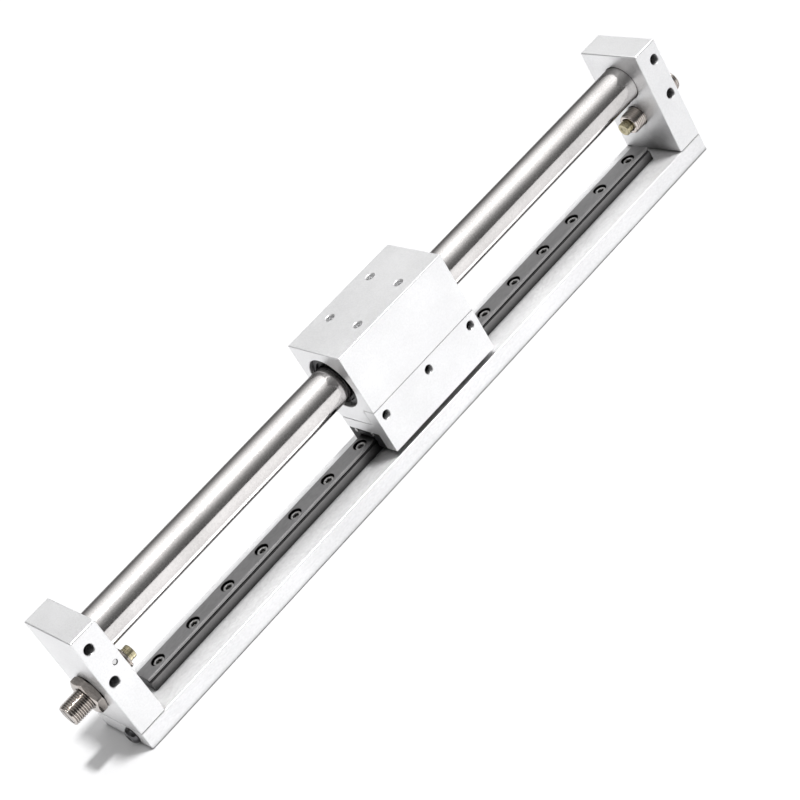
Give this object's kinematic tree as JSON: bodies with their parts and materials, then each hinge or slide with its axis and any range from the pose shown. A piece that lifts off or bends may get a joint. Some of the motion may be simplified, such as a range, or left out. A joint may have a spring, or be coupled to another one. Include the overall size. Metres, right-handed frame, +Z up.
{
  "type": "magnetic rodless cylinder",
  "caption": "Magnetically coupled rodless cylinder with a rail-guided slider on a flat base, air ports in both end plates and shock absorbers at the ends of travel.",
  "frame": {"origin": "centre of the base's bottom face", "axes": "+X along the cylinder towards the far end, +Z up, -Y towards the air ports"},
  "size_m": [0.3799, 0.0336, 0.0615],
  "materials": {
    "anodised_aluminium": "satin anodised",
    "base_aluminium": "satin anodised",
    "stainless": "drawn stainless",
    "rail_steel": "ground steel",
    "plated_steel": "bright nickel plate",
    "screw_steel": "black oxide",
    "small_screw_steel": "plated",
    "black_plastic": "moulded",
    "bearing_plastic": "smooth",
    "black_rubber": "smooth",
    "magnet": "nickel plated magnet",
    "yoke_steel": "rolled steel",
    "brass": "turned",
    "gold_cap": "gold chromate"
  },
  "bodies": {
    "base": {"base_plate": "base_aluminium", "end_plate_near": "anodised_aluminium", "end_plate_far": "anodised_aluminium", "cylinder_tube": "stainless", "guide_rail": "rail_steel", "rail_screws": "screw_steel", "end_plate_screws": "screw_steel", "channel_plug_near": "screw_steel", "channel_plug_far": "screw_steel", "port_ball_plug": "small_screw_steel", "tube_seals": "black_rubber", "channel_seals": "black_rubber", "absorber_body_near": "plated_steel", "absorber_body_far": "plated_steel", "lock_nut_near": "plated_steel", "lock_nut_far": "plated_steel", "absorber_end_plug_near": "plated_steel", "absorber_end_plug_far": "plated_steel", "absorber_bush_near": "brass", "absorber_bush_far": "brass", "return_spring_near": "stainless", "return_spring_far": "stainless"},
    "slider": {"slider_block": "anodised_aluminium", "slider_bracket": "anodised_aluminium", "guide_block_a": "rail_steel", "guide_block_b": "rail_steel", "guide_end_caps": "black_plastic", "guide_end_seals": "black_rubber", "guide_cap_screws": "small_screw_steel", "guide_balls": "small_screw_steel", "guide_block_screws": "screw_steel", "bracket_screws": "screw_steel", "outer_magnets": "magnet", "outer_yokes": "yoke_steel", "slider_wear_rings": "bearing_plastic", "slider_scrapers": "black_rubber", "retaining_rings": "small_screw_steel"},
    "piston": {"piston_shaft": "stainless", "inner_magnets": "magnet", "inner_yokes": "yoke_steel", "piston_ends": "anodised_aluminium", "piston_seals": "black_rubber", "piston_wear_rings": "bearing_plastic", "piston_nuts": "small_screw_steel", "piston_bumpers": "black_rubber"},
    "plunger_near": {"plunger_cap_near": "gold_cap", "plunger_rod_near": "stainless"},
    "plunger_far": {"plunger_cap_far": "gold_cap", "plunger_rod_far": "stainless"}
  },
  "joints": [
    {"name": "slider_slide", "type": "slide", "parent": "base", "child": "slider", "axis": [1, 0, 0], "range_m": [-0.13, 0.1179]},
    {"name": "piston_slide", "type": "slide", "parent": "base", "child": "piston", "axis": [1, 0, 0], "range_m": [-0.13, 0.1179]},
    {"name": "plunger_near_slide", "type": "slide", "parent": "base", "child": "plunger_near", "axis": [-1, 0, 0], "range_m": [0, 0.0033], "stiffness_N_per_m": 900, "springref_m": -0.004, "deforming": ["return_spring_near"]},
    {"name": "plunger_far_slide", "type": "slide", "parent": "base", "child": "plunger_far", "axis": [1, 0, 0], "range_m": [0, 0.0033], "stiffness_N_per_m": 900, "springref_m": -0.004, "deforming": ["return_spring_far"]}
  ],
  "couplings": [
    {"joint": "piston_slide", "follows": "slider_slide", "ratio": 1}
  ]
}
